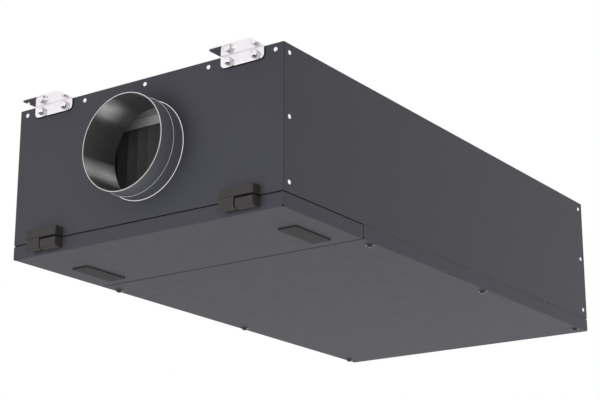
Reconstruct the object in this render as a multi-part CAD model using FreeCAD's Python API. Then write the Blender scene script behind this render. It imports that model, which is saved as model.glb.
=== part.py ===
import FreeCAD, Part
import math
import os

# Ceiling air handling unit: a flat insulated sheet-steel box that hangs from four brackets.
# Air comes in through the round spigot of the front panel, passes a pleated filter and
# leaves through the same spigot at the rear. The front part of the underside is a service
# door on two lift-off hinges, and the rest of the underside is a fixed tray.
# Frame: +Z up, +Y along the airflow, +X to the right of someone facing the front panel.
# The functions below work about the middle of the unit, with z = 0 on the hangers' top
# faces, and export() moves the origin onto the top face of the front left hanger.

# Casing
casing_width = 540.0
casing_length = 1020.0
casing_height = 258.0
sheet = 1.0
bend_radius = 2.0
lining_thickness = 23.0
panel_flange = 20.0
fit_gap = 0.2

# Underside trays
tray_depth = 22.2
seam_gap = 2.15
door_length = 214.5
door_seam_gap = 1.5
seal_width = 12.0
seal_clearance = 0.15
corner_relief_radius = 1.2

# Duct spigots, for 160 mm round duct
spigot_radius = 79.75
spigot_wall = 1.0
spigot_reach = 51.5
spigot_height = 137.0
shoulder_reach = 23.0
shoulder_step = 0.95
spigot_hole_gap = 0.15

# Hangers
hanger_width = 82.0
hanger_leg = 37.0
hanger_drop = 22.3
hanger_thickness = 2.5
hanger_inset = 35.0
hanger_corner_radius = 8.0
hanger_bend_radius = 3.0
hanger_hole_radius = 4.5
hanger_hole_reach = 22.0
origin_reach = 10.0

# Lift-off hinges
hinge_width = 63.5
hinge_inset = 43.0
hinge_square = 17.0
hinge_above_base = 5.0
hinge_top_block = 15.0
hinge_knuckle_width = 28.4
hinge_slot = 2.6
hinge_chamfer = 3.5
hinge_round = 4.0
hinge_gap = 0.5
hinge_edge_chamfer = 0.8
hinge_line_width = 0.6
hinge_line_depth = 0.7
pin_radius = 3.0
pin_clearance = 0.05
pin_end_gap = 2.0

# Flush latches of the door
latch_width = 35.0
latch_length = 95.6
latch_thickness = 2.3
latch_corner_radius = 2.0
latch_inset = 42.5
latch_rear_margin = 25.5
latch_housing_margin = 5.0
latch_housing_depth = 14.0
latch_edge_chamfer = 0.5

# Filter cassette and what carries it
filter_setback = 86.0
filter_depth = 48.0
filter_rim = 16.0
filter_sheet = 1.2
filter_gap = 0.5
filter_side_gap = 6.0
pleat_count = 22
pleat_sheet = 1.6
guide_sheet = 1.2
guide_leg = 14.0

# Cross rail over the seam between the door and the fixed tray
rail_width = 40.0
rail_height = 20.0

# Fan: a backward-curved wheel on an external-rotor motor, behind a bulkhead with a nozzle
bulkhead_setback = 310.0
bulkhead_sheet = 1.5
bulkhead_flange = 15.0
window_half_width = 62.0
nozzle_sheet = 1.5
nozzle_plate_width = 148.0
nozzle_throat_radius = 54.0
nozzle_depth = 24.0
nozzle_overlap = 4.5
wheel_radius = 87.5
wheel_width = 58.0
wheel_sheet = 1.5
wheel_gap = 2.5
blade_count = 7
blade_root_radius = 46.0
blade_arc_radius = 52.0
blade_arc_offset = 62.0
motor_radius = 46.0
motor_length = 58.0
bracket_width = 204.0
bracket_height = 90.0
bracket_foot = 16.0
bracket_sheet = 2.5

# Derived places
casing_top = -hanger_thickness
casing_base = casing_top - casing_height
front = -casing_length / 2
rear = casing_length / 2
half_width = casing_width / 2
inner_half_width = half_width - sheet
wall = sheet + lining_thickness
seam_low = casing_base + tray_depth
seam_high = seam_low + seam_gap
ceiling = casing_top - wall
spigot_centre = casing_base + spigot_height
fan_centre = (seam_high + ceiling) / 2
door_rear = front + door_length
tray_front = door_rear + door_seam_gap
flange_top = seam_high + sheet
hanger_centre = half_width - hanger_inset - hanger_width / 2
far = casing_length

os.makedirs("parts", exist_ok=True)


def vec(x, y, z):
    return FreeCAD.Vector(x, y, z)


def block(x0, x1, y0, y1, z0, z1):
    """Box between two corners."""
    return Part.makeBox(x1 - x0, y1 - y0, z1 - z0, vec(x0, y0, z0))


def cylinder(radius, start, length, axis):
    return Part.makeCylinder(radius, length, start, axis)


def export(shape, name):
    """Write one node, cleaned of seams left by the cuts, with the origin on the hanger."""
    clean = shape.removeSplitter()
    clean.translate(vec(hanger_centre, origin_reach - front, 0))
    clean.exportStep("parts/" + name + ".step")


def revolved(points, centre):
    """Turn an outline of (radius, y) points about a line along y at this height."""
    outline = [vec(radius, y, 0) for radius, y in points]
    outline.append(outline[0])
    ring = Part.Face(Part.makePolygon(outline)).revolve(vec(0, 0, 0), vec(0, 1, 0), 360)
    ring.translate(vec(0, 0, centre))
    return ring


def edges_where(shape, test):
    return [edge for edge in shape.Edges if test(edge)]


def lies_at(edge, axis, value):
    """True where both ends and the middle of an edge have this coordinate."""
    box = edge.BoundBox
    low = {"x": box.XMin, "y": box.YMin, "z": box.ZMin}[axis]
    high = {"x": box.XMax, "y": box.YMax, "z": box.ZMax}[axis]
    return abs(low - value) < 1e-4 and abs(high - value) < 1e-4


def mirrored_rear(shape):
    """The same piece at the other end of the unit."""
    return shape.mirror(vec(0, 0, 0), vec(0, 1, 0))


def mirrored_side(shape):
    """The same piece on the other side of the unit."""
    return shape.mirror(vec(0, 0, 0), vec(1, 0, 0))


# Front and rear panels: a sheet with flanges turned back along the sides and the bottom
def end_panel():
    body = block(-half_width, half_width, front, front + sheet, seam_high, casing_top)
    for side in (-1, 1):
        edge = side * inner_half_width
        inner = edge - side * sheet
        body = body.fuse(block(min(edge, inner), max(edge, inner), front + sheet,
                               front + sheet + panel_flange, seam_high, casing_top - sheet))
    shelf_half = inner_half_width - sheet
    body = body.fuse(block(-shelf_half, shelf_half, front + sheet, front + sheet + panel_flange,
                           seam_high, flange_top))
    hole = cylinder(spigot_radius + shoulder_step + spigot_hole_gap, vec(0, front - sheet, spigot_centre),
                    3 * sheet, vec(0, 1, 0))
    return body.cut(hole)


# Side panels: a sheet from end panel to end panel, with a shelf along its lower edge
def side_panel():
    y0 = front + sheet
    y1 = rear - sheet
    body = block(inner_half_width, half_width, y0, y1, seam_high, casing_top)
    shelf_start = y0 + panel_flange + fit_gap
    shelf = block(inner_half_width - panel_flange, inner_half_width, shelf_start, -shelf_start,
                  seam_high, flange_top)
    body = body.fuse(shelf)
    lower_edge = edges_where(body, lambda e: lies_at(e, "x", half_width) and lies_at(e, "z", seam_high))
    return body.makeFillet(sheet * 0.6, lower_edge)


# Top panel: a lid with four flanges turned down inside the other panels
def top_panel():
    x1 = inner_half_width - fit_gap
    y1 = rear - sheet - fit_gap
    lid = block(-x1, x1, -y1, y1, casing_top - sheet, casing_top)
    depth = casing_top - panel_flange
    flange_x = inner_half_width - sheet - fit_gap
    flange_y = y1 - panel_flange - fit_gap
    for side in (-1, 1):
        end = side * y1
        lid = lid.fuse(block(-flange_x, flange_x, min(end, end - side * sheet),
                             max(end, end - side * sheet), depth, casing_top))
        edge = side * x1
        lid = lid.fuse(block(min(edge, edge - side * sheet), max(edge, edge - side * sheet),
                             -flange_y, flange_y, depth, casing_top))
    return lid


# Underside trays: a pan with four upturned sides and rounded bends
def tray(y0, y1):
    outer = block(-half_width, half_width, y0, y1, casing_base, seam_low)
    bends = edges_where(outer, lambda e: lies_at(e, "z", casing_base))
    outer = outer.makeFillet(bend_radius, bends)
    inner = block(-inner_half_width, inner_half_width, y0 + sheet, y1 - sheet,
                  casing_base + sheet, seam_low + sheet)
    floor_edges = edges_where(inner, lambda e: lies_at(e, "z", casing_base + sheet))
    inner = inner.makeFillet(bend_radius - sheet, floor_edges)
    pan = outer.cut(inner)
    for x in (-half_width, half_width):
        for y in (y0, y1):
            notch = cylinder(corner_relief_radius, vec(x, y, casing_base), 2 * corner_relief_radius,
                             vec(0, 0, 1))
            pan = pan.cut(notch)
    return pan


# Duct spigot: a rolled tube through the panel and its lining, with a thicker root that stops
# the duct and seats in the hole of the panel
def spigot():
    tip = front - spigot_reach
    end = front + wall
    inside = spigot_radius - spigot_wall
    root = spigot_radius + shoulder_step
    shoulder = front - shoulder_reach
    return revolved([
        (inside, tip), (spigot_radius, tip), (spigot_radius, shoulder), (root, shoulder),
        (root, end), (inside, end),
    ], spigot_centre)


# Hanger: an angle bent from plate, bolted to the end panel, with a hole for the threaded rod
def hanger(side):
    x0 = hanger_centre - hanger_width / 2
    x_outer = hanger_centre + hanger_width / 2
    face = front
    leg = block(x0, x_outer, face - hanger_thickness, face, -hanger_drop, 0)
    flat = block(x0, x_outer, face - hanger_leg, face, -hanger_thickness, 0)
    angle = leg.fuse(flat).removeSplitter()
    inner_bend = edges_where(angle, lambda e: lies_at(e, "y", face - hanger_thickness)
                             and lies_at(e, "z", -hanger_thickness))
    angle = angle.makeFillet(hanger_bend_radius - hanger_thickness, inner_bend)
    outer_bend = edges_where(angle, lambda e: lies_at(e, "y", face) and lies_at(e, "z", 0))
    angle = angle.makeFillet(hanger_bend_radius, outer_bend)
    corners = edges_where(angle, lambda e: abs(e.BoundBox.YLength - hanger_thickness) < 1e-4
                          and e.BoundBox.ZLength < 1e-4 and e.BoundBox.XLength < 1e-4
                          and abs(e.BoundBox.ZMin + hanger_drop) < 1e-4)
    tips = edges_where(angle, lambda e: abs(e.BoundBox.ZLength - hanger_thickness) < 1e-4
                       and e.BoundBox.YLength < 1e-4 and e.BoundBox.XLength < 1e-4
                       and abs(e.BoundBox.YMin - (face - hanger_leg)) < 1e-4)
    angle = angle.makeFillet(hanger_corner_radius, corners + tips)
    hole = cylinder(hanger_hole_radius, vec(hanger_centre, face - hanger_hole_reach, -far / 2),
                    far, vec(0, 0, 1))
    angle = angle.cut(hole)
    return angle if side > 0 else mirrored_side(angle)


# Lift-off hinge: the casing leaf carries a fixed pin, the door leaf hangs on it and both
# hinges point the same way, so that the open door slides off sideways
pivot_y = front - hinge_square / 2
pivot_z = casing_base + hinge_above_base + hinge_square / 2
hinge_face = front - hinge_square


def hinge_casing_leaf(x0):
    x1 = x0 + hinge_width
    top = block(x0, x1, hinge_face, front, seam_high, seam_high + hinge_top_block)
    top_edges = edges_where(top, lambda e: lies_at(e, "y", hinge_face)
                            or (lies_at(e, "z", seam_high + hinge_top_block)
                                and not lies_at(e, "y", front)))
    top = top.makeChamfer(hinge_edge_chamfer, top_edges)
    knuckle_end = x0 + hinge_knuckle_width
    low = pivot_z - hinge_square / 2 + hinge_gap
    knuckle = block(x0, knuckle_end, hinge_face, front - hinge_gap, low, seam_high)
    nose = edges_where(knuckle, lambda e: lies_at(e, "y", hinge_face) and lies_at(e, "z", low))
    knuckle = knuckle.makeChamfer(hinge_chamfer, nose)
    heel = edges_where(knuckle, lambda e: lies_at(e, "y", front - hinge_gap) and lies_at(e, "z", low))
    knuckle = knuckle.makeFillet(hinge_square / 2 - hinge_gap, heel)
    leaf = top.fuse(knuckle)
    line = block(x0 - 1, knuckle_end + 1, hinge_face - 1, hinge_face + hinge_line_depth,
                 seam_high - hinge_line_width / 2, seam_high + hinge_line_width / 2)
    leaf = leaf.cut(line)
    socket = cylinder(pin_radius, vec(x0 + hinge_knuckle_width / 4, pivot_y, pivot_z),
                      hinge_knuckle_width, vec(1, 0, 0))
    return leaf.cut(socket)


def hinge_door_leaf(x0):
    start = x0 + hinge_knuckle_width + hinge_slot
    end = x0 + hinge_width
    low = pivot_z - hinge_square / 2
    high = pivot_z + hinge_square / 2
    leaf = block(start, end, hinge_face, front, low, high)
    nose = edges_where(leaf, lambda e: lies_at(e, "y", hinge_face) and lies_at(e, "z", low))
    leaf = leaf.makeChamfer(hinge_chamfer, nose)
    brow = edges_where(leaf, lambda e: lies_at(e, "y", hinge_face) and lies_at(e, "z", high))
    leaf = leaf.makeFillet(hinge_round, brow)
    bore = cylinder(pin_radius + pin_clearance, vec(start - 1, pivot_y, pivot_z),
                    end - start - pin_end_gap + 1, vec(1, 0, 0))
    return leaf.cut(bore)


def hinge_pin(x0):
    start = x0 + hinge_knuckle_width / 4
    end = x0 + hinge_width - 2 * pin_end_gap
    return cylinder(pin_radius, vec(start, pivot_y, pivot_z), end - start, vec(1, 0, 0))


# Flush latch: a moulded plate on the underside of the door with its housing above the sheet
def latch(side):
    x1 = half_width - latch_inset
    x0 = x1 - latch_width
    y1 = door_rear - latch_rear_margin
    y0 = y1 - latch_length
    plate = block(x0, x1, y0, y1, casing_base - latch_thickness, casing_base)
    corners = edges_where(plate, lambda e: e.BoundBox.XLength < 1e-4 and e.BoundBox.YLength < 1e-4)
    plate = plate.makeFillet(latch_corner_radius, corners)
    rim = edges_where(plate, lambda e: lies_at(e, "z", casing_base - latch_thickness))
    plate = plate.makeChamfer(latch_edge_chamfer, rim)
    body = plate.fuse(latch_housing(0.0))
    return body if side > 0 else mirrored_side(body)


def latch_housing(grow):
    """Housing of the right-hand latch, grown sideways for the hole that it sits in."""
    x1 = half_width - latch_inset - latch_housing_margin + grow
    x0 = half_width - latch_inset - latch_width + latch_housing_margin - grow
    y1 = door_rear - latch_rear_margin - latch_housing_margin + grow
    y0 = door_rear - latch_rear_margin - latch_length + latch_housing_margin - grow
    return block(x0, x1, y0, y1, casing_base, casing_base + latch_housing_depth + grow)


# Linings: stiff wool boards that fill the panels, each between the ones fitted before it
def end_lining():
    y0 = front + sheet
    x1 = inner_half_width - sheet - fit_gap
    board = block(-x1, x1, y0, front + wall, flange_top, casing_top - sheet)
    rebate = block(-x1, x1, y0, y0 + sheet + 2 * fit_gap, casing_top - panel_flange - fit_gap, casing_top)
    board = board.cut(rebate)
    hole = cylinder(spigot_radius + shoulder_step + spigot_hole_gap, vec(0, y0 - 1, spigot_centre),
                    wall + 2, vec(0, 1, 0))
    return board.cut(hole)


def top_lining():
    x1 = inner_half_width - 2 * sheet - 2 * fit_gap
    return block(-x1, x1, front + wall, rear - wall, ceiling, casing_top - sheet)


def side_lining():
    x0 = inner_half_width - lining_thickness
    return block(x0, inner_half_width, front + wall, rear - wall, flange_top, ceiling)


def tray_lining(y0, y1):
    x1 = inner_half_width - fit_gap
    base = casing_base + sheet
    board = block(-x1, x1, y0 + sheet + fit_gap, y1 - sheet - fit_gap, base, seam_low)
    return board.makeFillet(bend_radius - sheet, edges_where(board, lambda e: lies_at(e, "z", base)))


def tray_seal(y0, y1, clearance):
    """Foam strip round the top of a tray, under the shelves of the casing."""
    x1 = inner_half_width - fit_gap
    top = seam_high - clearance
    outer = block(-x1, x1, y0 + sheet + fit_gap, y1 - sheet - fit_gap, seam_low, top)
    inner = block(-x1 + seal_width, x1 - seal_width, y0 + sheet + fit_gap + seal_width,
                  y1 - sheet - fit_gap - seal_width, seam_low - 1, top + 1)
    return outer.cut(inner)


# Cross rail: a channel that closes the gap over the seam and rests on the side shelves
def cross_rail():
    middle = (door_rear + tray_front) / 2
    y0 = middle - rail_width / 2
    y1 = middle + rail_width / 2
    shelf = inner_half_width - panel_flange - fit_gap
    reach = inner_half_width - lining_thickness
    web = block(-shelf, shelf, y0, y1, seam_high, flange_top)
    rail = web
    for y in (y0, y1 - sheet):
        rail = rail.fuse(block(-reach, reach, y, y + sheet, flange_top, seam_high + rail_height))
    return rail


# Filter cassette: a folded frame round a pleated sheet, between two upright guides
def filter_places():
    x1 = inner_half_width - lining_thickness - filter_side_gap
    y0 = front + filter_setback
    return -x1, x1, y0, y0 + filter_depth, flange_top + filter_gap, ceiling - 2 * filter_gap


def filter_frame():
    x0, x1, y0, y1, z0, z1 = filter_places()
    frame = block(x0, x1, y0, y1, z0, z1)
    frame = frame.cut(block(x0 + filter_sheet, x1 - filter_sheet, y0 + filter_sheet,
                            y1 - filter_sheet, z0 + filter_sheet, z1 - filter_sheet))
    window = block(x0 + filter_rim, x1 - filter_rim, y0 - 1, y1 + 1, z0 + filter_rim, z1 - filter_rim)
    return frame.cut(window)


def filter_media():
    x0, x1, y0, y1, z0, z1 = filter_places()
    margin = filter_sheet + fit_gap
    left = x0 + margin
    right = x1 - margin
    near = y0 + margin
    deep = y1 - margin
    pitch = (right - left) / pleat_count
    front_line = []
    back_line = []
    for fold in range(2 * pleat_count + 1):
        x = left + fold * pitch / 2
        outer = near if fold % 2 == 0 else deep - pleat_sheet
        front_line.append(vec(x, outer, z0 + margin))
        back_line.append(vec(x, outer + pleat_sheet, z0 + margin))
    outline = front_line + back_line[::-1]
    outline.append(outline[0])
    sheet_face = Part.Face(Part.makePolygon(outline))
    return sheet_face.extrude(vec(0, 0, z1 - z0 - 2 * margin))


def filter_guide():
    x0, x1, y0, y1, z0, z1 = filter_places()
    wall_face = inner_half_width - lining_thickness
    inner = wall_face - filter_side_gap - guide_leg + guide_sheet
    low = flange_top + rail_height
    guide = block(inner, wall_face, y0 - fit_gap - guide_sheet, y1 + fit_gap + guide_sheet, low, z1)
    return guide.cut(block(inner - 1, wall_face - guide_sheet, y0 - fit_gap, y1 + fit_gap,
                           low - 1, z1 + 1))


# Fan section behind the filter
bulkhead_front = front + bulkhead_setback
bulkhead_back = bulkhead_front + bulkhead_sheet
wheel_front = bulkhead_back + nozzle_depth - nozzle_overlap
wheel_back = wheel_front + wheel_width
motor_back = wheel_back + motor_length


def fan_bulkhead():
    """A sheet across the casing with turned flanges and a square window behind the nozzle."""
    x1 = inner_half_width - lining_thickness - fit_gap
    z0 = seam_low + fit_gap
    z1 = ceiling - fit_gap
    body = block(-x1, x1, bulkhead_front, bulkhead_back, z0, z1)
    back = bulkhead_front + bulkhead_flange
    body = body.fuse(block(-x1, x1, bulkhead_front, back, z1 - bulkhead_sheet, z1))
    for side in (-1, 1):
        edge = side * x1
        inner = edge - side * bulkhead_sheet
        body = body.fuse(block(min(edge, inner), max(edge, inner), bulkhead_front, back, z0, z1))
    return body.cut(square_block(window_half_width, bulkhead_front - 1, bulkhead_back + 1))


def square_block(half, y0, y1):
    """A square block on the fan's axis."""
    return block(-half, half, y0, y1, fan_centre - half, fan_centre + half)


def fan_inlet_nozzle():
    """A square plate on the bulkhead with a round throat that reaches into the wheel."""
    face = bulkhead_front - nozzle_sheet
    length = nozzle_sheet + bulkhead_sheet + nozzle_depth
    plate = square_block(nozzle_plate_width / 2, face, bulkhead_front)
    tube = cylinder(nozzle_throat_radius, vec(0, face, fan_centre), length, vec(0, 1, 0))
    inside = cylinder(nozzle_throat_radius - nozzle_sheet, vec(0, face - 1, fan_centre),
                      length + 2, vec(0, 1, 0))
    return plate.fuse(tube).cut(inside)


def blade():
    """One blade: a strip of a circular arc that leans back from its root to the rim."""
    def angle_at(radius):
        cosine = radius ** 2 - blade_arc_offset ** 2 - blade_arc_radius ** 2
        return math.acos(cosine / (2 * blade_arc_offset * blade_arc_radius))

    start = angle_at(wheel_radius - wheel_sheet)
    end = angle_at(blade_root_radius)
    middle = (start + end) / 2

    def point(angle, radius):
        return vec(blade_arc_offset + radius * math.cos(angle), wheel_front,
                   radius * math.sin(angle))

    outer = blade_arc_radius + wheel_sheet / 2
    inner = blade_arc_radius - wheel_sheet / 2
    edges = [
        Part.Arc(point(start, outer), point(middle, outer), point(end, outer)),
        Part.LineSegment(point(end, outer), point(end, inner)),
        Part.Arc(point(end, inner), point(middle, inner), point(start, inner)),
        Part.LineSegment(point(start, inner), point(start, outer)),
    ]
    face = Part.Face(Part.Wire([edge.toShape() for edge in edges]))
    strip = face.extrude(vec(0, wheel_width - wheel_sheet / 2, 0))
    strip.translate(vec(0, 0, fan_centre))
    return strip


def fan_wheel():
    """Back plate, bladed ring and front shroud, welded into one piece."""
    inlet = nozzle_throat_radius + wheel_gap
    shroud_back = wheel_front + wheel_sheet
    back_face = wheel_back - wheel_sheet
    shroud = revolved([
        (inlet, wheel_front), (wheel_radius, wheel_front), (wheel_radius, shroud_back),
        (inlet, shroud_back),
    ], fan_centre)
    plate = revolved([
        (0, back_face), (wheel_radius, back_face), (wheel_radius, wheel_back), (0, wheel_back),
    ], fan_centre)
    behind_nozzle = wheel_front + nozzle_overlap + wheel_gap
    root = blade_root_radius - wheel_sheet
    envelope = revolved([
        (root, behind_nozzle), (inlet, behind_nozzle), (inlet, shroud_back),
        (wheel_radius, shroud_back), (wheel_radius, wheel_back), (root, wheel_back),
    ], fan_centre)
    wheel = plate.fuse(shroud)
    single = blade().common(envelope)
    for turn in range(blade_count):
        copy = single.copy()
        copy.rotate(vec(0, 0, fan_centre), vec(0, 1, 0), 360.0 * turn / blade_count)
        wheel = wheel.fuse(copy)
    return wheel


def fan_motor():
    return cylinder(motor_radius, vec(0, wheel_back, fan_centre), motor_length, vec(0, 1, 0))


def fan_bracket():
    """A strap bent round the wheel: a plate that carries the motor, two legs and two feet."""
    back = motor_back + bracket_sheet
    x1 = bracket_width / 2
    low = fan_centre - bracket_height / 2
    high = fan_centre + bracket_height / 2
    strap = block(-x1, x1, motor_back, back, low, high)
    for side in (-1, 1):
        edge = side * x1
        inner = edge - side * bracket_sheet
        tip = edge + side * bracket_foot
        strap = strap.fuse(block(min(edge, inner), max(edge, inner), bulkhead_back, back, low, high))
        strap = strap.fuse(block(min(inner, tip), max(inner, tip), bulkhead_back,
                                 bulkhead_back + bracket_sheet, low, high))
    return strap


# Outer sheets
front_sheet = end_panel()
export(front_sheet, "front_panel")
export(mirrored_rear(front_sheet), "rear_panel")
right_side = side_panel()
export(right_side, "right_side_panel")
export(mirrored_side(right_side), "left_side_panel")
export(top_panel(), "top_panel")

# Trays, linings and seals of the underside
latch_holes = latch_housing(fit_gap).fuse(mirrored_side(latch_housing(fit_gap)))
export(tray(front, door_rear).cut(latch_holes), "service_door")
export(tray(tray_front, rear), "fixed_bottom_panel")
export(tray_lining(front, door_rear).cut(latch_holes), "door_lining")
export(tray_lining(tray_front, rear), "bottom_lining")
export(tray_seal(front, door_rear, seal_clearance), "door_seal")
export(tray_seal(tray_front, rear, 0.0), "bottom_panel_seal")
export(cross_rail(), "cross_rail")

# Linings of the casing
front_board = end_lining()
export(front_board, "front_lining")
export(mirrored_rear(front_board), "rear_lining")
export(top_lining(), "top_lining")
export(side_lining(), "right_lining")
export(mirrored_side(side_lining()), "left_lining")

# Spigots
inlet = spigot()
export(inlet, "inlet_spigot")
export(mirrored_rear(inlet), "outlet_spigot")

# Hangers
for side, side_name in ((-1, "left"), (1, "right")):
    bracket = hanger(side)
    export(bracket, "hanger_front_" + side_name)
    export(mirrored_rear(bracket), "hanger_rear_" + side_name)

# Hinges and latches of the door
hinge_starts = {"left": -half_width + hinge_inset, "right": half_width - hinge_inset - hinge_width}
for side_name, hinge_start in hinge_starts.items():
    export(hinge_casing_leaf(hinge_start), "hinge_" + side_name + "_casing_leaf")
    export(hinge_door_leaf(hinge_start), "hinge_" + side_name + "_door_leaf")
    export(hinge_pin(hinge_start), "hinge_" + side_name + "_pin")
export(latch(-1), "latch_left")
export(latch(1), "latch_right")

# Filter
export(filter_frame(), "filter_frame")
export(filter_media(), "filter_media")
export(filter_guide(), "filter_guide_right")
export(mirrored_side(filter_guide()), "filter_guide_left")

# Fan
export(fan_bulkhead(), "fan_bulkhead")
export(fan_inlet_nozzle(), "fan_inlet_nozzle")
export(fan_wheel(), "fan_wheel")
export(fan_motor(), "fan_motor")
export(fan_bracket(), "fan_bracket")
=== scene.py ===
import math

import bmesh
import bpy
import numpy as np
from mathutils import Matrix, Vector


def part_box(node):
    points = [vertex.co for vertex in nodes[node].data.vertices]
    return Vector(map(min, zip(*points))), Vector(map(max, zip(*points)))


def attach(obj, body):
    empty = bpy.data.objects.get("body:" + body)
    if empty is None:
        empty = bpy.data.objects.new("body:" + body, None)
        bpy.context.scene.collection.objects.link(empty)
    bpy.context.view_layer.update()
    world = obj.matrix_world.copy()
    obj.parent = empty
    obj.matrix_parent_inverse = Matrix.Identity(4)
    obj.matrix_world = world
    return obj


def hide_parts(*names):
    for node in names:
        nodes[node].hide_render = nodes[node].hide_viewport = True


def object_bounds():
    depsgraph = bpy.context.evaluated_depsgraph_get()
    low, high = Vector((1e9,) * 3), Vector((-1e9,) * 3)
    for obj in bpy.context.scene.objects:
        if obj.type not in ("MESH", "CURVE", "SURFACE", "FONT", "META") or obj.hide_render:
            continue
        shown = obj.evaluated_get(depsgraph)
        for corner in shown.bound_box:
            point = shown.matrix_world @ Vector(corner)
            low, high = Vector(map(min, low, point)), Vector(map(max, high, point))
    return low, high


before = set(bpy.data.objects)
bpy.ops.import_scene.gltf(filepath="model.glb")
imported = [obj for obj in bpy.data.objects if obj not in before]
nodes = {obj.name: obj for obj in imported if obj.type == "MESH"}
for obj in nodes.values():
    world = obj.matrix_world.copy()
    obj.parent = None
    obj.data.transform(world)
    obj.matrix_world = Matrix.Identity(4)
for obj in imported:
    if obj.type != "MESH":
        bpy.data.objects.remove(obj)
cad_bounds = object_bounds()

# Studio
# The unit hangs in a white studio with a pale floor far below it. The camera stands in front
# of its near corner and lower, and looks up through a long lens.
camera_place = (1.7718, -1.8253, -0.9460)
camera_yaw = math.radians(34.839)
camera_pitch = math.radians(17.121)
camera_roll = math.radians(-0.05)
camera_data = bpy.data.cameras.new("camera")
camera_data.sensor_width = 36.0
camera_data.lens = 97.48
camera_data.clip_start = 0.05
camera_data.clip_end = 200.0
camera = bpy.data.objects.new("camera", camera_data)
camera.location = camera_place
camera.rotation_euler = (math.pi / 2 + camera_pitch, camera_roll, camera_yaw)
bpy.context.scene.collection.objects.link(camera)
bpy.context.scene.camera = camera
bpy.context.scene.view_settings.view_transform = "Standard"


white = (1.0, 1.0, 1.0, 1.0)


def arithmetic(tree, operation, first, second=None):
    """One Math node. A plain number stands in its own socket, anything else is linked."""
    node = tree.nodes.new("ShaderNodeMath")
    node.operation = operation
    for socket, value in zip(node.inputs, (first, second)):
        if isinstance(value, (int, float)):
            socket.default_value = value
        elif value is not None:
            tree.links.new(value, socket)
    return node.outputs[0]


def mirrored(tree, path):
    """1 for rays that come by a mirror or through glass, and 0 for the rest."""
    return arithmetic(tree, "MAXIMUM", path.outputs["Is Glossy Ray"], path.outputs["Is Transmission Ray"])


def white_world(fill):
    """White to the camera and in reflections, and an even fill of the given level for the rest."""
    world = bpy.data.worlds.new("studio")
    world.use_nodes = True
    tree = world.node_tree
    tree.nodes.clear()
    path = tree.nodes.new("ShaderNodeLightPath")
    mix = tree.nodes.new("ShaderNodeMixShader")
    seen = arithmetic(tree, "MAXIMUM", path.outputs["Is Camera Ray"], mirrored(tree, path))
    tree.links.new(seen, mix.inputs[0])
    for socket, strength in ((mix.inputs[1], fill), (mix.inputs[2], 1.0)):
        background = tree.nodes.new("ShaderNodeBackground")
        background.inputs["Color"].default_value = white
        background.inputs["Strength"].default_value = strength
        tree.links.new(background.outputs[0], socket)
    output = tree.nodes.new("ShaderNodeOutputWorld")
    tree.links.new(mix.outputs[0], output.inputs["Surface"])
    bpy.context.scene.world = world


def soft_lamp(name, toward, distance, size, power):
    """A square lamp at a distance from the unit's middle in one direction, turned to face it."""
    data = bpy.data.lights.new(name, "AREA")
    data.size = size
    data.energy = power
    lamp = bpy.data.objects.new(name, data)
    direction = np.array(toward, float)
    direction /= np.linalg.norm(direction)
    middle = (np.array(cad_bounds[0]) + np.array(cad_bounds[1])) / 2
    lamp.location = middle + direction * distance
    lamp.rotation_mode = "QUATERNION"
    lamp.rotation_quaternion = Vector(direction).to_track_quat("Z", "Y")
    lamp.visible_camera = False
    lamp.visible_glossy = False
    bpy.context.scene.collection.objects.link(lamp)


white_world(0.80)
soft_lamp("front_lamp", (-0.25, -0.95, -0.10), 2.6, 1.2, 18.7)
soft_lamp("bounce_lamp", (0.10, -1.00, -0.30), 1.15, 0.5, 1.7)
soft_lamp("side_lamp", (0.85, 0.05, -0.62), 1.6, 0.9, 4.1)
soft_lamp("low_lamp", (0.75, 1.30, -0.80), 2.6, 1.6, 33.0)

floor_depth = -6.0
floor_reach = 40.0
floor_mesh = bpy.data.meshes.new("floor")
floor_mesh.from_pydata(
    [(-floor_reach, -floor_reach, floor_depth), (floor_reach, -floor_reach, floor_depth),
     (floor_reach, floor_reach, floor_depth), (-floor_reach, floor_reach, floor_depth)],
    [], [(0, 1, 2, 3)])
floor = bpy.data.objects.new("floor", floor_mesh)
bpy.context.scene.collection.objects.link(floor)


# Casing sheets
# Front, rear, side and top panels of 1 mm steel, folded and riveted at their flanges, and
# powder coated in a satin graphite with the faint orange peel of such coats.
def new_material(name):
    """An empty node material, its tree and its shader."""
    material = bpy.data.materials.new(name)
    material.use_nodes = True
    return material, material.node_tree, material.node_tree.nodes["Principled BSDF"]


def place(tree):
    """The Object coordinate output, in metres."""
    return tree.nodes.new("ShaderNodeTexCoord").outputs["Object"]


def noise(tree, where, scale, detail=2.0, roughness=0.5):
    """Cloudy noise whose grain is about 1 / scale metres."""
    node = tree.nodes.new("ShaderNodeTexNoise")
    node.inputs["Scale"].default_value = scale
    node.inputs["Detail"].default_value = detail
    node.inputs["Roughness"].default_value = roughness
    tree.links.new(where, node.inputs["Vector"])
    return node.outputs["Fac"]


def spread(tree, source, low, high, from_low=0.3, from_high=0.7):
    """Map a noise's middle range onto low to high."""
    node = tree.nodes.new("ShaderNodeMapRange")
    node.inputs["From Min"].default_value = from_low
    node.inputs["From Max"].default_value = from_high
    node.inputs["To Min"].default_value = low
    node.inputs["To Max"].default_value = high
    tree.links.new(source, node.inputs["Value"])
    return node.outputs["Result"]


def blended(tree, factor, first, second):
    """A colour between two, by a factor."""
    node = tree.nodes.new("ShaderNodeMix")
    node.data_type = "RGBA"
    node.inputs[6].default_value = (*first, 1.0)
    node.inputs[7].default_value = (*second, 1.0)
    tree.links.new(factor, node.inputs[0])
    return node.outputs[2]


def bumped(tree, height, strength, distance, under=None):
    """A normal raised by a height, on top of another normal where one is given."""
    node = tree.nodes.new("ShaderNodeBump")
    node.inputs["Strength"].default_value = strength
    node.inputs["Distance"].default_value = distance
    tree.links.new(height, node.inputs["Height"])
    if under is not None:
        tree.links.new(under, node.inputs["Normal"])
    return node.outputs["Normal"]


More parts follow.
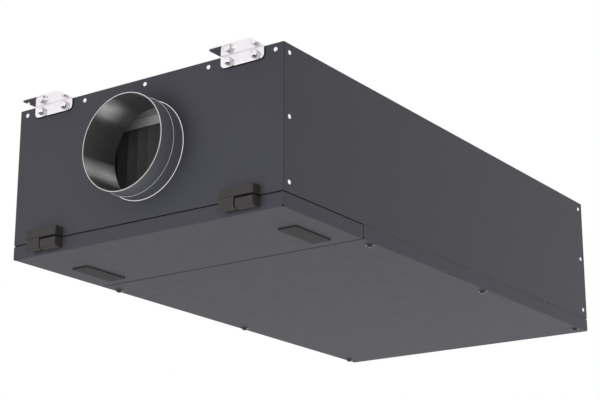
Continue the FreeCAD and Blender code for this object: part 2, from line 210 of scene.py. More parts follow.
def rounded(tree, radius):
    """A normal that rounds the edges of a folded or moulded piece."""
    node = tree.nodes.new("ShaderNodeBevel")
    node.samples = 4
    node.inputs["Radius"].default_value = radius
    return node.outputs["Normal"]


def powder_coat(name, dark, light, gloss_level, edge):
    """Satin coat: slow drift between two near colours, orange peel and a fine dry grain."""
    material, tree, shader = new_material(name)
    where = place(tree)
    tree.links.new(blended(tree, spread(tree, noise(tree, where, 3.0), 0.0, 1.0), dark, light),
                   shader.inputs["Base Color"])
    tree.links.new(spread(tree, noise(tree, where, 35.0), 0.485, 0.515), shader.inputs["Roughness"])
    shader.inputs["Specular IOR Level"].default_value = gloss_level
    peel = bumped(tree, noise(tree, where, 850.0, 1.0), 0.035, 0.00012, rounded(tree, edge))
    grain = bumped(tree, noise(tree, where, 4200.0, 3.0), 0.05, 0.00004, peel)
    tree.links.new(grain, shader.inputs["Normal"])
    return material


def dress(material, *names):
    """Give CAD nodes their material."""
    for name in names:
        slots = nodes[name].data.materials
        slots.clear()
        slots.append(material)


coat_gloss = 0.13
fold_round = 0.0010
casing_coat = powder_coat("casing_coat", (0.0430, 0.0438, 0.0528), (0.0438, 0.0446, 0.0537),
                          coat_gloss, fold_round)
dress(casing_coat, "front_panel", "rear_panel", "left_side_panel", "right_side_panel", "top_panel")

# Studio floor
# Nearly white and matt. Rays that come by a mirror see it plain white, as they see the world.
floor_paint, floor_tree, floor_shader = new_material("floor_paint")
floor_shader.inputs["Roughness"].default_value = 0.9
floor_tone = spread(floor_tree, noise(floor_tree, place(floor_tree), 0.6), 0.0, 1.0)
floor_tree.links.new(blended(floor_tree, floor_tone, (0.92, 0.92, 0.92), (0.94, 0.94, 0.94)),
                     floor_shader.inputs["Base Color"])
floor_path = floor_tree.nodes.new("ShaderNodeLightPath")
floor_white = floor_tree.nodes.new("ShaderNodeEmission")
floor_mix = floor_tree.nodes.new("ShaderNodeMixShader")
floor_tree.links.new(mirrored(floor_tree, floor_path), floor_mix.inputs[0])
floor_tree.links.new(floor_shader.outputs[0], floor_mix.inputs[1])
floor_tree.links.new(floor_white.outputs[0], floor_mix.inputs[2])
floor_tree.links.new(floor_mix.outputs[0], floor_tree.nodes["Material Output"].inputs["Surface"])
floor_mesh.materials.append(floor_paint)

# Underside trays
# The service door and the fixed panel are pans of the same coated steel, with four upturned
# sides and a small relief cut at each corner where the folds meet.
# Painted shade: the trays' coat is a copy of the casing's, painted a little darker and warmer for how the
# underside is lit.
shaded_tray_coat = powder_coat("shaded_tray_coat", (0.0423, 0.0414, 0.0516), (0.0431, 0.0422, 0.0526),
                        coat_gloss, fold_round)
dress(shaded_tray_coat, "service_door", "fixed_bottom_panel")


# Seals
# Closed-cell foam, glued round the top of both trays. It shows as the line in the seam: black over the
# door, and over the fixed tray a copy painted dark grey, as painted light that keeps that line thin. A
# strip of it closes the fixed tray's front end. At the door's front corners two black balls are painted
# shade, the two dark dots of the relief cuts.
def cellular(name, colour, cell, strength):
    """Foam: small round cells as bump, with the colour a little lighter on their walls."""
    material, tree, shader = new_material(name)
    where = place(tree)
    cells = tree.nodes.new("ShaderNodeTexVoronoi")
    cells.inputs["Scale"].default_value = 1.0 / cell
    tree.links.new(where, cells.inputs["Vector"])
    walls = cells.outputs["Distance"]
    lighter = tuple(1.5 * part for part in colour)
    tree.links.new(blended(tree, walls, colour, lighter), shader.inputs["Base Color"])
    tree.links.new(spread(tree, noise(tree, where, 200.0), 0.8, 0.95), shader.inputs["Roughness"])
    shader.inputs["Specular IOR Level"].default_value = 0.2
    tree.links.new(bumped(tree, walls, strength, cell / 2), shader.inputs["Normal"])
    return material


foam = cellular("foam", (0.006, 0.006, 0.007), 0.0009, 0.5)
dress(foam, "door_seal")
dress(cellular("painted_light_grey_foam", (0.080, 0.080, 0.086), 0.0009, 0.4), "bottom_panel_seal")

strip_thick = 0.0007
strip_inset = 0.0002
tray_bend = 0.0016
relief_radius = 0.0019
relief_inset = 0.0016
relief_rows = 12
tray_low, tray_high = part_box("fixed_bottom_panel")
door_low, door_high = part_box("service_door")


def add_piece(name, vertices, faces, materials, body="casing", sharp=40.0, chosen=None):
    """A mesh object at the origin that rides on a body. Its faces are turned outwards, and it
    is smooth but for edges over an angle."""
    mesh = bpy.data.meshes.new(name)
    mesh.from_pydata(np.asarray(vertices).tolist(), [], faces)
    for material in materials:
        mesh.materials.append(material)
    if chosen is not None:
        mesh.polygons.foreach_set("material_index", np.asarray(chosen, np.int32))
    mesh.polygons.foreach_set("use_smooth", np.ones(len(mesh.polygons), bool))
    shape = bmesh.new()
    shape.from_mesh(mesh)
    bmesh.ops.recalc_face_normals(shape, faces=shape.faces)
    shape.to_mesh(mesh)
    shape.free()
    mesh.set_sharp_from_angle(angle=math.radians(sharp))
    piece = bpy.data.objects.new(name, mesh)
    bpy.context.scene.collection.objects.link(piece)
    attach(piece, body)
    return piece


def half_round(power=1.0, count=9):
    """A strip's section: across runs from -1/2 to 1/2 as half a cosine, and its height is the
    sine of the same turn to a power, which is under 1 for a flatter top."""
    turn = np.linspace(0, np.pi, count)
    return -np.cos(turn) / 2, np.maximum(np.sin(turn), 0.0) ** power


def carried(rings):
    """A skin over sections carried along a path: rings[i, j] is point j of section i. Each
    section is a closed loop, and the first and the last are capped."""
    stations, count = rings.shape[:2]
    index = np.arange(stations * count).reshape(stations, count)
    following = np.roll(index, -1, axis=1)
    quads = np.stack([index[:-1], index[1:], following[1:], following[:-1]], -1).reshape(-1, 4)
    return rings.reshape(-1, 3), quads.tolist() + [index[0].tolist(), index[-1].tolist()]


def straight_strip(start, end, across, out, width, thick, power=1.0):
    """A strip from start to end, of a given width along one direction and proud along another."""
    share, proud = half_round(power)
    line = np.array([start, end], float)
    rings = (line[:, None, :] + width * share[None, :, None] * np.asarray(across)
             + thick * proud[None, :, None] * np.asarray(out))
    return carried(rings)


def ball(centre, radius, rows):
    """A sphere from latitude and longitude, with its two poles as single points."""
    rise = np.linspace(0, np.pi, rows + 1)[1:-1]
    turn = np.arange(2 * rows) * np.pi / rows
    ring = np.stack([np.outer(np.sin(rise), np.cos(turn)), np.outer(np.sin(rise), np.sin(turn)),
                     np.outer(np.cos(rise), np.ones(2 * rows))], -1).reshape(-1, 3)
    points = np.asarray(centre) + radius * np.vstack([ring, (0, 0, 1), (0, 0, -1)])
    index = np.arange(len(ring)).reshape(rows - 1, 2 * rows)
    following = np.roll(index, -1, axis=1)
    quads = np.stack([index[:-1], index[1:], following[1:], following[:-1]], -1).reshape(-1, 4)
    caps = [[len(ring), a, b] for a, b in zip(index[0].tolist(), following[0].tolist())]
    feet = [[len(ring) + 1, b, a] for a, b in zip(index[-1].tolist(), following[-1].tolist())]
    return points, quads.tolist() + caps + feet


def joined(parts):
    """Several meshes, each as points and faces, in one."""
    points = []
    faces = []
    for more_points, more_faces in parts:
        faces += [[len(points) + corner for corner in face] for face in more_faces]
        points += np.asarray(more_points).tolist()
    return points, faces


strip_foot = tray_low.z + tray_bend
strip_head = tray_high.z - strip_inset
strip_middle = (strip_foot + strip_head) / 2
points, faces = straight_strip((tray_low.x + strip_inset, tray_low.y, strip_middle),
                               (tray_high.x - strip_inset, tray_low.y, strip_middle),
                               (0, 0, 1), (0, -1, 0), strip_head - strip_foot, strip_thick, 0.2)
add_piece("tray_end_seal", points, faces, [foam])
# Painted shade: two black balls at the door's front corners stand for the dark of its relief cuts.
relief_y = door_low.y + relief_inset
relief_z = door_low.z + relief_inset
relief_shade_dots = [ball((x, relief_y, relief_z), relief_radius, relief_rows)
           for x in (door_low.x + relief_inset, door_high.x - relief_inset)]
points, faces = joined(relief_shade_dots)
add_piece("door_corner_relief_shade", points, faces, [foam], "door")

# Duct spigots
# A rolled steel tube at each end. Outside it has a copy of the casing's coat painted twice as light, as
# painted light. Inside it is black with two bands of painted sheen. Its rim, its shoulder and its foot
# are bare bright edges. The duct is pushed on up to the shoulder.
duct_radius = 0.07975
duct_wall = 0.0010
shoulder_step = 0.00095
shoulder_reach = 0.0230
edge_round = 0.0003
ring_sides = 256
rim_bead = 0.0008
shoulder_bead = 0.0005
foot_bead = 0.0011
bead_seat = 0.0003
foot_seat = 0.0006
# Each band of painted sheen, a painted reflection: its middle and half width as angles in radians,
# and how strong it is at the mouth and further in. It changes between two distances from the unit's
# middle.
painted_sheen_bands = ((1.00, 0.32, 0.52, 0.05), (-0.36, 0.33, 0.45, 1.0))
fade_start = 0.500
fade_end = 0.545


def ring_about_y(profile, centre, sides=ring_sides):
    """Turn a closed outline of (radius, y) about a line along y through a point: point (i, j)
    lies at radius r_j, angle 2 pi i / sides and depth y_j. Returns vertices and quads."""
    outline = np.asarray(profile, float)
    angle = np.arange(sides) * 2 * np.pi / sides
    count = len(outline)
    points = np.empty((sides, count, 3))
    points[..., 0] = centre[0] + np.outer(np.cos(angle), outline[:, 0])
    points[..., 1] = outline[:, 1]
    points[..., 2] = centre[1] + np.outer(np.sin(angle), outline[:, 0])
    index = np.arange(sides * count).reshape(sides, count)
    right = np.roll(index, -1, axis=0)
    quads = np.stack([index, right, np.roll(right, -1, axis=1), np.roll(index, -1, axis=1)], -1)
    return points.reshape(-1, 3), quads.reshape(-1, 4)


def bare_edge_metal(name, colour, rough_low, rough_high):
    """Bright cut steel: metal with faint patches of rougher and duller surface."""
    material, tree, shader = new_material(name)
    where = place(tree)
    shader.inputs["Metallic"].default_value = 1.0
    duller = tuple(0.88 * part for part in colour)
    tree.links.new(blended(tree, spread(tree, noise(tree, where, 160.0), 0.0, 1.0), colour, duller),
                   shader.inputs["Base Color"])
    haze = spread(tree, noise(tree, where, 420.0), rough_low, rough_high)
    tree.links.new(haze, shader.inputs["Roughness"])
    return material


bare_edge = bare_edge_metal("bare_edge", (0.72, 0.71, 0.72), 0.25, 0.40)
polished_edge = bare_edge_metal("polished_edge", (0.95, 0.94, 0.95), 0.12, 0.20)


def smooth_step(tree, source, start, end, low, high):
    """Rise or fall without a corner from low at start to high at end."""
    node = tree.nodes.new("ShaderNodeMapRange")
    node.interpolation_type = "SMOOTHSTEP"
    tree.links.new(source, node.inputs["Value"])
    limits = {"From Min": start, "From Max": end, "To Min": low, "To Max": high}
    for socket, value in limits.items():
        node.inputs[socket].default_value = value
    return node.outputs["Result"]


def painted_sheen_duct(name, dark, pale, axis_x, axis_z, middle_y):
    """Semi-gloss black enamel with two bands of painted sheen on each side of the tube: pale colour
    that stands for reflections. The bands follow the angle about the tube's axis, measured up from its
    side, and the upper one fades inwards and the lower one outwards."""
    material, tree, shader = new_material(name)
    where = place(tree)
    parts = tree.nodes.new("ShaderNodeSeparateXYZ")
    tree.links.new(where, parts.inputs[0])
    aside = arithmetic(tree, "ABSOLUTE", arithmetic(tree, "SUBTRACT", parts.outputs["X"], axis_x))
    above = arithmetic(tree, "SUBTRACT", parts.outputs["Z"], axis_z)
    angle = arithmetic(tree, "ARCTAN2", above, aside)
    reach = arithmetic(tree, "ABSOLUTE", arithmetic(tree, "SUBTRACT", parts.outputs["Y"], middle_y))
    streaks = tree.nodes.new("ShaderNodeMapping")
    streaks.inputs["Scale"].default_value = (1.0, 0.12, 1.0)
    tree.links.new(where, streaks.inputs["Vector"])
    grain = noise(tree, streaks.outputs["Vector"], 70.0, 1.0)
    wobble = spread(tree, grain, -0.05, 0.05)
    bands = []
    for centre, half, outer, inner in painted_sheen_bands:
        away = arithmetic(tree, "ABSOLUTE", arithmetic(tree, "SUBTRACT", angle, centre))
        across = smooth_step(tree, arithmetic(tree, "ADD", away, wobble), half, 0.0, 0.0, 1.0)
        along = smooth_step(tree, reach, fade_start, fade_end, inner, outer)
        bands.append(arithmetic(tree, "MULTIPLY", across, along))
    sheen_share = arithmetic(tree, "MAXIMUM", bands[0], bands[1])
    # Painted sheen: the bands blend the dark enamel towards near white, as painted reflections.
    tree.links.new(blended(tree, sheen_share, dark, pale), shader.inputs["Base Color"])
    tree.links.new(spread(tree, grain, 0.26, 0.32), shader.inputs["Roughness"])
    shader.inputs["Specular IOR Level"].default_value = 0.4
    return material


duct_low, duct_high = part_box("inlet_spigot")
duct_x = (duct_low.x + duct_high.x) / 2
duct_z = (duct_low.z + duct_high.z) / 2
far_duct_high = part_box("outlet_spigot")[1]
sheen_enamel = painted_sheen_duct("duct_enamel_painted_sheen", (0.066, 0.065, 0.065), (0.97, 0.96, 0.97), duct_x, duct_z,
                    (duct_low.y + far_duct_high.y) / 2)
# Painted light: the tube's outside coat is a copy of the casing's coat, painted about twice as light.
lit_duct_coat = powder_coat("lit_duct_coat", (0.086, 0.088, 0.104), (0.088, 0.090, 0.107), 0.25, 0.0003)


def tube_profile(tip, shoulder, end):
    """Outline of the tube's wall from its inner end round the rim to its outer end."""
    inside = duct_radius - duct_wall
    root = duct_radius + shoulder_step
    turn = np.linspace(0, np.pi, 7)
    middle = duct_radius - duct_wall / 2
    out = math.copysign(1.0, tip - end)
    rim = [(middle - duct_wall / 2 * math.cos(a), tip - out * duct_wall / 2 * (1 - math.sin(a)))
           for a in turn]
    step = [(duct_radius, shoulder), (root - edge_round, shoulder), (root, shoulder - out * edge_round)]
    return [(inside, end), (inside, (end + tip) / 2)] + rim + step + [(root, end)]


def bead_profile(radius, y, thick):
    """A round bead: a circle of a given radius in the plane of the outline."""
    turn = np.arange(12) * 2 * np.pi / 12
    return [(radius + thick * math.cos(a), y + thick * math.sin(a)) for a in turn]


def add_spigot(node, name, out):
    """The tube that stands for a CAD node and its three bare rings. out is -1 at the inlet."""
    low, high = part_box(node)
    centre = ((low.x + high.x) / 2, (low.z + high.z) / 2)
    tip = low.y if out < 0 else high.y
    end = high.y if out < 0 else low.y
    panel_low, panel_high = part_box("front_panel" if out < 0 else "rear_panel")
    face = panel_low.y if out < 0 else panel_high.y
    shoulder = face + out * shoulder_reach
    outline = tube_profile(tip, shoulder, end)
    vertices, faces = ring_about_y(outline, centre)
    radius = np.hypot(vertices[:, 0] - centre[0], vertices[:, 2] - centre[1])
    inner = radius[faces].mean(1) < duct_radius - 0.75 * duct_wall
    tube = add_piece(name + "_tube", vertices, faces.tolist(), [lit_duct_coat, sheen_enamel],
                     chosen=inner)
    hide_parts(node)
    root = duct_radius + shoulder_step
    rings = {
        "_rim": (duct_radius - duct_wall / 2, tip, rim_bead, bare_edge),
        "_shoulder_ring": (root - bead_seat, shoulder, shoulder_bead, bare_edge),
        "_foot_ring": (root + bead_seat, face + out * foot_seat, foot_bead, polished_edge),
    }
    for suffix, (ring_radius, y, thick, metal) in rings.items():
        vertices, faces = ring_about_y(bead_profile(ring_radius, y, thick), centre)
        add_piece(name + suffix, vertices, faces.tolist(), [metal])


add_spigot("inlet_spigot", "inlet", -1)
add_spigot("outlet_spigot", "outlet", 1)


# Hangers
# Four angles of 2.5 mm steel, zinc plated and as bright as a mirror, each held to its end panel
# by two round-headed bolts, with a black bar near each head's lower edge as a painted dark reflection.
# A black bead round the upright leg is painted shade, the dark contact line at its edge, and a
# threaded rod passes through the hole of the flat one.
def bright_zinc(name, rough_low, rough_high, painted_shade_floor):
    """Mirror-bright plating with a slow change of tone and small cloudy spots of more haze.
    It is painted darker in hollows as painted shade, down to the given share, as in a fold or round a
    bolt's foot."""
    material, tree, shader = new_material(name)
    where = place(tree)
    shader.inputs["Metallic"].default_value = 1.0
    tone = spread(tree, noise(tree, where, 60.0, 3.0), 0.0, 1.0)
    plating = blended(tree, tone, (0.97, 0.95, 0.97), (0.91, 0.89, 0.91))
    # Painted shade: ambient occlusion darkens the plating's colour in folds and round the bolts' feet.
    openness = tree.nodes.new("ShaderNodeAmbientOcclusion")
    openness.inputs["Distance"].default_value = 0.004
    openness.samples = 8
    tree.links.new(plating, openness.inputs["Color"])
    shade = smooth_step(tree, openness.outputs["AO"], 0.35, 0.85, painted_shade_floor, 1.0)
    shaded = tree.nodes.new("ShaderNodeMix")
    shaded.data_type = "RGBA"
    shaded.blend_type = "MULTIPLY"
    shaded.inputs[0].default_value = 1.0
    tree.links.new(plating, shaded.inputs[6])
    tree.links.new(shade, shaded.inputs[7])
    tree.links.new(shaded.outputs[2], shader.inputs["Base Color"])
    haze = spread(tree, noise(tree, where, 140.0), rough_low, rough_high)
    tree.links.new(haze, shader.inputs["Roughness"])
    wave = bumped(tree, noise(tree, where, 90.0), 0.10, 0.0002, rounded(tree, 0.0001))
    tree.links.new(wave, shader.inputs["Normal"])
    return material


zinc = bright_zinc("bright_zinc", 0.06, 0.12, 0.60)
hangers = [name for name in nodes if name.startswith("hanger_")]
dress(zinc, *hangers)

bolt_inset = 0.01575
bolt_drop = 0.0107
head_sides = 28
head_sunk = 0.0002
bolt_profile = [(0.0, 0.0066), (0.0052, 0.0065), (0.0060, 0.0062), (0.0065, 0.0056),
                (0.0065, -head_sunk), (0.0, -head_sunk)]
# A black bar near the lower edge of each bolt head is a painted reflection of the dark panel in the head.
dark_bar_width = 0.0058
dark_bar_height = 0.0023
dark_bar_drop = 0.0047
dark_bar_aside = 0.0012
dark_bar_face = 0.0068
dark_bar_deep = 0.0008


def turned_studs(profile, places, out, sides=head_sides):
    """Turned heads: each is a profile of (radius, height) about its axis, from the crown's
    pole to the foot's pole, with its axis along out and its foot at one of the places."""
    outline = np.asarray(profile, float)
    axis = np.asarray(out, float)
    across = np.cross(axis, (0.0, 0.0, 1.0) if abs(axis[2]) < 0.5 else (0.0, 1.0, 0.0))
    up = np.cross(axis, across)
    angle = np.arange(sides) * 2 * np.pi / sides
    rim = outline[1:-1]
    spokes = np.outer(np.cos(angle), across) + np.outer(np.sin(angle), up)
    rings = spokes[:, None, :] * rim[None, :, :1] + rim[None, :, 1:] * axis
    head = np.vstack([rings.reshape(-1, 3), outline[0, 1] * axis, outline[-1, 1] * axis])
    index = np.arange(sides * len(rim)).reshape(sides, len(rim))
    right = np.roll(index, -1, axis=0)
    quads = np.stack([index[:, :-1], index[:, 1:], right[:, 1:], right[:, :-1]], -1).reshape(-1, 4)
    crown = np.full(sides, sides * len(rim))
    crowns = np.stack([crown, index[:, 0], right[:, 0]], -1)
    feet = np.stack([crown + 1, right[:, -1], index[:, -1]], -1)
    head_faces = quads.tolist() + crowns.tolist() + feet.tolist()
    faces = [[corner + turn * len(head) for corner in face]
             for turn in range(len(places)) for face in head_faces]
    return (np.asarray(places, float)[:, None, :] + head[None]).reshape(-1, 3), faces


def add_heads(name, profile, places, out, material):
    """One joined mesh of turned heads on a flat face of the casing."""
    vertices, faces = turned_studs(profile, places, out)
    add_piece(name, vertices, faces, [material], sharp=50.0)


def reflection_bar(place_of_bolt, out):
    """A painted dark reflection near the lower edge of a bolt's head: a thin black bar across it."""
    x, foot, z = place_of_bolt
    corners = [(x - out * dark_bar_aside + side * dark_bar_width / 2, foot + out * (dark_bar_face - sunk),
                z - dark_bar_drop + lift * dark_bar_height / 2)
               for sunk in (0.0, dark_bar_deep) for side, lift in ((-1, -1), (1, -1), (1, 1), (-1, 1))]
    faces = [(0, 1, 2, 3), (7, 6, 5, 4), (0, 4, 5, 1), (1, 5, 6, 2), (2, 6, 7, 3), (3, 7, 4, 0)]
    return corners, faces


leg_corner = 0.0080
shade_bead_width = 0.0028
shade_bead_proud = 0.0004


def contact_shade_bead(x0, x1, top, foot, face, out, corner_steps=9):
    """A black bead round the upright leg, as painted shade for the dark contact line at its edge: a half
    wave section is carried down one side, round two quarter circles and up the other side, with its
    middle on the leg's edge."""
    turn = np.linspace(0, np.pi / 2, corner_steps)
    left_out = np.stack([-np.cos(turn), -np.sin(turn)], 1)
    right_out = np.stack([np.sin(turn), -np.cos(turn)], 1)
    outward = np.vstack([[(-1.0, 0.0)], left_out, right_out, [(1.0, 0.0)]])
    left_centre = (x0 + leg_corner, foot + leg_corner)
    right_centre = (x1 - leg_corner, foot + leg_corner)
    centres = np.vstack([[(left_centre[0], top)], np.tile(left_centre, (corner_steps, 1)),
                         np.tile(right_centre, (corner_steps, 1)), [(right_centre[0], top)]])
    share, proud = half_round()
    reach = leg_corner + share * shade_bead_width
    line = centres[:, None, :] + outward[:, None, :] * reach[None, :, None]
    depth = np.broadcast_to(face + out * shade_bead_proud * proud, line.shape[:2])
    return carried(np.stack([line[..., 0], depth, line[..., 1]], -1))


def shaded_side_zinc(name):
    """Zinc on a bolt: bright on the crown of the head, and painted grey round its side as painted shade.
    """
    material, tree, shader = new_material(name)
    shader.inputs["Metallic"].default_value = 1.0
    facing = tree.nodes.new("ShaderNodeSeparateXYZ")
    tree.links.new(tree.nodes.new("ShaderNodeTexCoord").outputs["Normal"], facing.inputs[0])
    ahead = arithmetic(tree, "ABSOLUTE", facing.outputs["Y"])
    # Painted shade: faces that turn away from the bolt's axis are painted grey.
    crown = smooth_step(tree, ahead, 0.35, 0.85, 0.0, 1.0)
    tree.links.new(blended(tree, crown, (0.66, 0.64, 0.66), (0.97, 0.95, 0.97)),
                   shader.inputs["Base Color"])
    cloud = noise(tree, place(tree), 400.0)
    tree.links.new(spread(tree, cloud, 0.24, 0.34), shader.inputs["Roughness"])
    tree.links.new(bumped(tree, cloud, 0.05, 0.0001), shader.inputs["Normal"])
    return material


bolt_zinc = shaded_side_zinc("bolt_zinc")
reflection_black, reflection_tree, reflection_shader = new_material("reflection_black")
reflection_tone = noise(reflection_tree, place(reflection_tree), 800.0)
reflection_tree.links.new(blended(reflection_tree, reflection_tone, (0.006, 0.006, 0.006), (0.012, 0.012, 0.012)),
                   reflection_shader.inputs["Base Color"])
reflection_tree.links.new(spread(reflection_tree, reflection_tone, 0.6, 0.8), reflection_shader.inputs["Roughness"])

hanger_sheet = 0.0025
front_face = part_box("front_panel")[0].y
rear_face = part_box("rear_panel")[1].y
casing_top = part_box("top_panel")[1].z
for hanger in hangers:
    low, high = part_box(hanger)
    out = -1.0 if "front" in hanger else 1.0
    leg_face = (front_face if out < 0 else rear_face) + out * hanger_sheet
    height = casing_top - bolt_drop
    places = [(x, leg_face, height) for x in (low.x + bolt_inset, high.x - bolt_inset)]
    add_heads(hanger.replace("hanger", "hanger_bolts"), bolt_profile, places, (0.0, out, 0.0),
              bolt_zinc)
    corners, quads = joined([reflection_bar(spot, out) for spot in places])
    add_piece(hanger.replace("hanger", "hanger_reflection_bars"), corners, quads, [reflection_black])
    # Painted shade: a black bead round the leg's edge stands for the dark contact line where the leg
    # meets the panel.
    points, faces = contact_shade_bead(low.x, high.x, casing_top, low.z, leg_face - out * hanger_sheet, out)
    add_piece(hanger.replace("hanger", "hanger_contact_shade"), points, faces, [foam])

# Rivets
# Blind rivets with bright domed heads hold the panels to their flanges: five along the top of
# each end, and three up each end of the sides.
rivet_radius = 0.00365
rivet_height = 0.0011
rivet_pitch = 0.1274
end_rivet_drop = 0.0100
side_rivet_inset = 0.0150
side_rivet_heights = (0.244, 0.142, 0.040)
rivet_turn = np.linspace(0, np.pi / 2, 7)
rivet_profile = ([(rivet_radius * math.sin(a), rivet_height * math.cos(a)) for a in rivet_turn]
                 + [(rivet_radius, -head_sunk), (0.0, -head_sunk)])
body_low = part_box("left_side_panel")[0]
body_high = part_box("right_side_panel")[1]
casing_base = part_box("service_door")[0].z
middle_x = (body_low.x + body_high.x) / 2
end_spots = [middle_x + (turn - 2) * rivet_pitch for turn in range(5)]
for name, face, out in (("front_rivets", front_face, -1.0), ("rear_rivets", rear_face, 1.0)):
    places = [(x, face, casing_top - end_rivet_drop) for x in end_spots]
    add_heads(name, rivet_profile, places, (0.0, out, 0.0), zinc)
for name, face, out in (("left_rivets", body_low.x, -1.0), ("right_rivets", body_high.x, 1.0)):
    places = [(face, y, casing_base + height) for height in side_rivet_heights
              for y in (front_face + side_rivet_inset, rear_face - side_rivet_inset)]
    add_heads(name, rivet_profile, places, (out, 0.0, 0.0), zinc)


# Corner joints
# At its four upright corners the end panel laps the side panel. A fine dark strip runs down each
# joint from the seam to the top, as painted shade for the dark line there.
painted_joint_shade = cellular("painted_joint_shade", (0.012, 0.012, 0.014), 0.0004, 0.1)
joint_setback = 0.0011
joint_width = 0.0011
joint_proud = 0.00017
joint_sunk = 0.00005
joint_foot_gap = 0.0010
joint_top_gap = 0.0005
seam_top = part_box("left_side_panel")[0].z
for side, x, out in (("left", body_low.x, -1.0), ("right", body_high.x, 1.0)):
    for end, y in (("front", front_face + joint_setback), ("rear", rear_face - joint_setback)):
        foot = x - out * joint_sunk
        start = (foot, y, seam_top + joint_foot_gap)
        end_point = (foot, y, casing_top - joint_top_gap)
        points, faces = straight_strip(start, end_point, (0, 1, 0), (out, 0, 0), joint_width, joint_proud)
        add_piece(side + "_" + end + "_joint_shade", points, faces, [painted_joint_shade])

# Tray screws
# Six flanged pan-head screws, blackened, hold the fixed panel: three along each side.
def black_steel(name):
    """Blackened screw steel with a little gloss and a fine tumbled grain."""
    material, tree, shader = new_material(name)
    where = place(tree)
    tone = noise(tree, where, 500.0)
    tree.links.new(blended(tree, tone, (0.020, 0.020, 0.022), (0.040, 0.040, 0.043)),
                   shader.inputs["Base Color"])
    shader.inputs["Metallic"].default_value = 0.5
    tree.links.new(spread(tree, noise(tree, where, 900.0), 0.12, 0.22), shader.inputs["Roughness"])
    tree.links.new(bumped(tree, noise(tree, where, 1800.0), 0.1, 0.00005), shader.inputs["Normal"])
    return material


screw_black = black_steel("screw_black")
screw_inset = 0.0103
screw_spots = (0.250, 0.617, 0.985)
screw_profile = [(0.0, 0.0046), (0.0024, 0.0045), (0.0040, 0.0039), (0.0046, 0.0029),
                 (0.0047, 0.0014), (0.0076, 0.0011), (0.0083, 0.0005), (0.0083, -head_sunk),
                 (0.0, -head_sunk)]
screw_places = [(x, front_face + spot, casing_base) for spot in screw_spots
                for x in (body_low.x + screw_inset, body_high.x - screw_inset)]
add_heads("tray_screws", screw_profile, screw_places, (0.0, 0.0, -1.0), screw_black)


# Hinges and latches
# Lift-off hinges and flush latches moulded in black glass-filled plastic, with the fine dull
# texture of such mouldings. The hinge pins are turned steel.
def moulded_black(name, dark, light, gloss_level=0.3):
    """Dull moulding: fine spark-eroded grain, and edges rounded by half a millimetre."""
    material, tree, shader = new_material(name)
    where = place(tree)
    tree.links.new(blended(tree, spread(tree, noise(tree, where, 90.0), 0.0, 1.0), dark, light),
                   shader.inputs["Base Color"])
    tree.links.new(spread(tree, noise(tree, where, 700.0), 0.55, 0.68), shader.inputs["Roughness"])
    shader.inputs["Specular IOR Level"].default_value = gloss_level
    grain = bumped(tree, noise(tree, where, 2600.0, 3.0), 0.25, 0.00006, rounded(tree, 0.0006))
    tree.links.new(grain, shader.inputs["Normal"])
    return material


hinge_black = moulded_black("hinge_black", (0.0285, 0.0255, 0.0260), (0.0315, 0.0283, 0.0288))
dress(hinge_black, *[name for name in nodes if name.startswith("hinge_") and "pin" not in name])
latch_gloss = 0.12
latch_black = moulded_black("latch_black", (0.0255, 0.0245, 0.0253), (0.0290, 0.0280, 0.0287),
                            latch_gloss)
dress(latch_black, "latch_left", "latch_right")


def turned_steel(name):
    """Bright turned steel with fine rings round the pin, which lies along x."""
    material, tree, shader = new_material(name)
    where = place(tree)
    stretch = tree.nodes.new("ShaderNodeMapping")
    stretch.inputs["Scale"].default_value = (1.0, 0.02, 0.02)
    tree.links.new(where, stretch.inputs["Vector"])
    rings = noise(tree, stretch.outputs["Vector"], 4000.0)
    tree.links.new(blended(tree, rings, (0.45, 0.45, 0.46), (0.56, 0.56, 0.57)),
                   shader.inputs["Base Color"])
    shader.inputs["Metallic"].default_value = 1.0
    tree.links.new(spread(tree, rings, 0.25, 0.38), shader.inputs["Roughness"])
    tree.links.new(bumped(tree, rings, 0.2, 0.00003), shader.inputs["Normal"])
    return material


dress(turned_steel("pin_steel"), "hinge_left_pin", "hinge_right_pin")


# Linings
# Stiff mineral wool boards faced with black glass fleece, painted pale grey here as painted light
# for the light inside the casing. They line the casing and the door.
def glass_fleece(name, dark, light):
    """Fleece: long fibres lie every way, so two stretched noises cross over a coarse one."""
    material, tree, shader = new_material(name)
    where = place(tree)
    heights = []
    for scale in ((1.0, 7.0, 3.0), (6.0, 1.0, 1.0), (3.0, 1.0, 8.0)):
        stretch = tree.nodes.new("ShaderNodeMapping")
        stretch.inputs["Scale"].default_value = scale
        tree.links.new(where, stretch.inputs["Vector"])
        heights.append(noise(tree, stretch.outputs["Vector"], 260.0, 4.0, 0.6))
    highest = arithmetic(tree, "MAXIMUM", heights[0], heights[1])
    fibres = arithmetic(tree, "MAXIMUM", highest, heights[2])
    tone = spread(tree, fibres, 0.0, 1.0, 0.45, 0.75)
    tree.links.new(blended(tree, tone, dark, light), shader.inputs["Base Color"])
    shader.inputs["Roughness"].default_value = 0.9
    shader.inputs["Specular IOR Level"].default_value = 0.2
    tree.links.new(bumped(tree, fibres, 0.5, 0.0006), shader.inputs["Normal"])
    return material


# Painted light: the black facing is painted pale grey, for the light that reaches inside the casing.
lit_lining_fleece = glass_fleece("glass_fleece", (0.42, 0.42, 0.423), (0.54, 0.54, 0.543))
dress(lit_lining_fleece, *[name for name in nodes if name.endswith("_lining")])


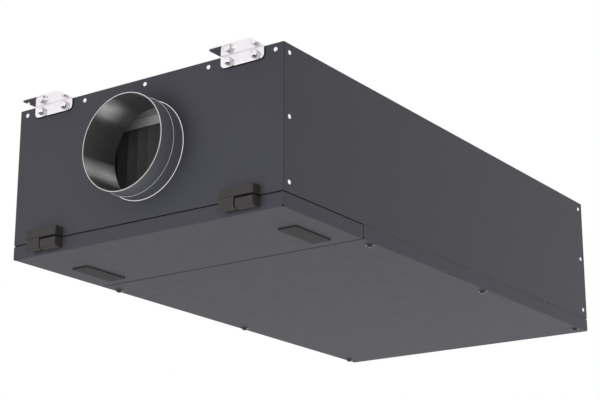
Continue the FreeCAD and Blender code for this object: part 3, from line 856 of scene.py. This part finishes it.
# Cross rail, filter guides and fan sheets
# Plain galvanised sheet, folded: the rail over the seam, the filter's guides, and the fan's
# bulkhead, inlet nozzle and bracket.
def galvanised(name):
    """Hot-dip zinc: spangles as cells, each with its own tone and haze."""
    material, tree, shader = new_material(name)
    where = place(tree)
    spangle = tree.nodes.new("ShaderNodeTexVoronoi")
    spangle.inputs["Scale"].default_value = 110.0
    tree.links.new(where, spangle.inputs["Vector"])
    tone = tree.nodes.new("ShaderNodeSeparateColor")
    tree.links.new(spangle.outputs["Color"], tone.inputs["Color"])
    tree.links.new(blended(tree, tone.outputs[0], (0.42, 0.42, 0.43), (0.56, 0.56, 0.57)),
                   shader.inputs["Base Color"])
    shader.inputs["Metallic"].default_value = 0.9
    tree.links.new(spread(tree, tone.outputs[1], 0.34, 0.50, 0.0, 1.0), shader.inputs["Roughness"])
    haze = bumped(tree, noise(tree, where, 600.0), 0.06, 0.0001, rounded(tree, 0.0006))
    tree.links.new(haze, shader.inputs["Normal"])
    return material


zinc_sheet = galvanised("zinc_sheet")
dress(zinc_sheet, "cross_rail", "filter_guide_left", "filter_guide_right", "fan_bulkhead",
      "fan_inlet_nozzle", "fan_bracket")


# Filter
# A dark synthetic fleece folded into pleats, glued into a frame of dull zinc sheet. The fleece is
# painted mid grey and the frame near white, as painted light for the light that comes in through the
# spigot.
def lit_dull_zinc(name):
    """Zinc sheet painted near white as painted light, nearly matt, with soft clouds of tone."""
    material, tree, shader = new_material(name)
    where = place(tree)
    tree.links.new(blended(tree, spread(tree, noise(tree, where, 40.0, 3.0), 0.0, 1.0),
                           (0.84, 0.82, 0.83), (0.90, 0.88, 0.89)), shader.inputs["Base Color"])
    shader.inputs["Metallic"].default_value = 0.25
    tree.links.new(spread(tree, noise(tree, where, 120.0), 0.45, 0.6), shader.inputs["Roughness"])
    tree.links.new(bumped(tree, noise(tree, where, 900.0), 0.1, 0.0001, rounded(tree, 0.0006)),
                   shader.inputs["Normal"])
    return material


# Painted light: the frame's zinc is painted near white, for the light that comes in through the spigot.
dress(lit_dull_zinc("lit_dull_zinc"), "filter_frame")
# Painted light: the dark fleece is painted mid grey, for the light that comes in through the spigot.
lit_filter_fleece = glass_fleece("lit_filter_fleece", (0.19, 0.19, 0.191), (0.24, 0.24, 0.241))
dress(lit_filter_fleece, "filter_media")

# Fan
# A wheel with curved blades, moulded in dark plastic, on a motor with a die-cast housing.
fan_black = moulded_black("fan_black", (0.020, 0.021, 0.023), (0.028, 0.029, 0.031))
dress(fan_black, "fan_wheel")


def die_cast(name):
    """Sand-blasted die-cast aluminium."""
    material, tree, shader = new_material(name)
    where = place(tree)
    tree.links.new(blended(tree, noise(tree, where, 70.0), (0.48, 0.48, 0.48), (0.58, 0.58, 0.58)),
                   shader.inputs["Base Color"])
    shader.inputs["Metallic"].default_value = 0.9
    tree.links.new(spread(tree, noise(tree, where, 300.0), 0.45, 0.6), shader.inputs["Roughness"])
    tree.links.new(bumped(tree, noise(tree, where, 1500.0), 0.3, 0.0001), shader.inputs["Normal"])
    return material


dress(die_cast("motor_casting"), "fan_motor")
